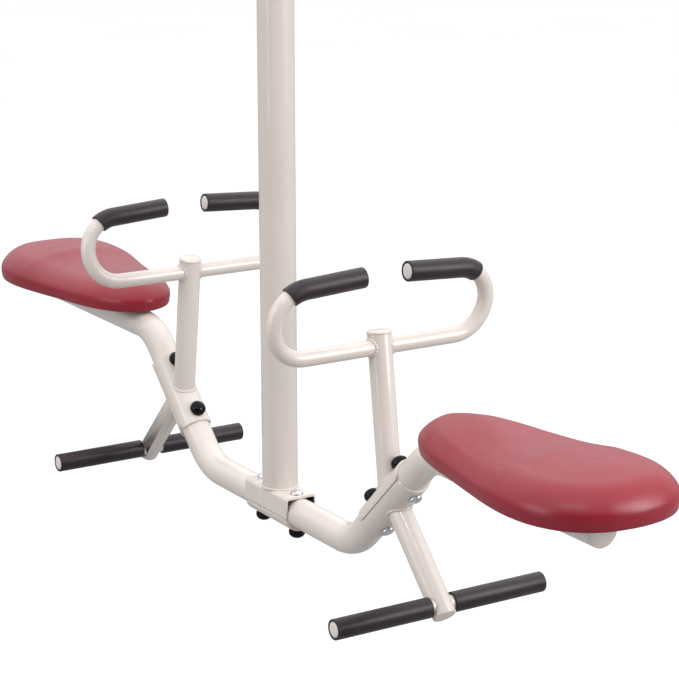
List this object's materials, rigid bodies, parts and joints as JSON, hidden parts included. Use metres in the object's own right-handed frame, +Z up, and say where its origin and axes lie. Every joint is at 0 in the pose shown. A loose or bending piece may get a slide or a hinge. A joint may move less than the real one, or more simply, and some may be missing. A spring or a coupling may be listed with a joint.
{
  "type": "glider swing",
  "caption": "Two-rider pendulum glider swing on one round post, with a bent seat tube, padded seats, C-shaped handlebars and foot bars.",
  "frame": {"origin": "middle of the hanger bracket's flat top face, where it bolts up under a beam", "axes": "+Z up, out of the hanger's top face; X along the seat tube from rider to rider; Y across it, along the pivot bolt"},
  "size_m": [1.9, 0.4092, 1.875],
  "materials": {
    "cream_paint": "glossy cream powder coat on steel tube",
    "hanger_steel": "glossy cream powder coat on steel plate",
    "zinc_plated_steel": "bright zinc plating",
    "black_gloss_cap": "glossy black moulded dome",
    "black_foam": "smooth black foam tube",
    "white_plug": "off-white plug",
    "red_vinyl": "smooth dusty red vinyl over foam",
    "seat_base": "dark moulded base",
    "nylon": "black nylon"
  },
  "bodies": {
    "hanger": {"hanger_bracket": "hanger_steel", "pivot_bolt": "zinc_plated_steel", "pivot_nut": "zinc_plated_steel"},
    "glider": {"centre_bolt_left": "zinc_plated_steel", "centre_bolt_right": "zinc_plated_steel", "centre_bracket": "cream_paint", "centre_cap_left": "black_gloss_cap", "centre_cap_right": "black_gloss_cap", "centre_saddle": "cream_paint", "clamp_bolt_left_lower": "zinc_plated_steel", "clamp_bolt_left_upper": "zinc_plated_steel", "clamp_bolt_right_lower": "zinc_plated_steel", "clamp_bolt_right_upper": "zinc_plated_steel", "clamp_cap_left_lower": "black_gloss_cap", "clamp_cap_left_upper": "black_gloss_cap", "clamp_cap_right_lower": "black_gloss_cap", "clamp_cap_right_upper": "black_gloss_cap", "foot_bar_left": "cream_paint", "foot_bar_right": "cream_paint", "foot_plug_left_back": "white_plug", "foot_plug_left_front": "white_plug", "foot_plug_right_back": "white_plug", "foot_plug_right_front": "white_plug", "foot_sleeve_left_back": "black_foam", "foot_sleeve_left_front": "black_foam", "foot_sleeve_right_back": "black_foam", "foot_sleeve_right_front": "black_foam", "footrest_arm_left": "cream_paint", "footrest_arm_right": "cream_paint", "grip_left_back": "black_foam", "grip_left_front": "black_foam", "grip_plug_left_back": "white_plug", "grip_plug_left_front": "white_plug", "grip_plug_right_back": "white_plug", "grip_plug_right_front": "white_plug", "grip_right_back": "black_foam", "grip_right_front": "black_foam", "handlebar_left": "cream_paint", "handlebar_right": "cream_paint", "handlebar_stem_left": "cream_paint", "handlebar_stem_right": "cream_paint", "main_post": "cream_paint", "pivot_bushing_back": "nylon", "pivot_bushing_front": "nylon", "pivot_sleeve": "cream_paint", "seat_board_left": "seat_base", "seat_board_right": "seat_base", "seat_bolt_left_back": "zinc_plated_steel", "seat_bolt_left_front": "zinc_plated_steel", "seat_bolt_right_back": "zinc_plated_steel", "seat_bolt_right_front": "zinc_plated_steel", "seat_cradle_left": "cream_paint", "seat_cradle_right": "cream_paint", "seat_cushion_left": "red_vinyl", "seat_cushion_right": "red_vinyl", "seat_tube": "cream_paint", "seat_tube_cap_left": "cream_paint", "seat_tube_cap_right": "cream_paint", "stem_cap_left": "cream_paint", "stem_cap_right": "cream_paint"}
  },
  "joints": [
    {"name": "swing_pivot", "type": "hinge", "parent": "hanger", "child": "glider", "pos_m": [0, 0, -0.062], "axis": [0, 1, 0], "range_deg": [-30, 30]}
  ]
}
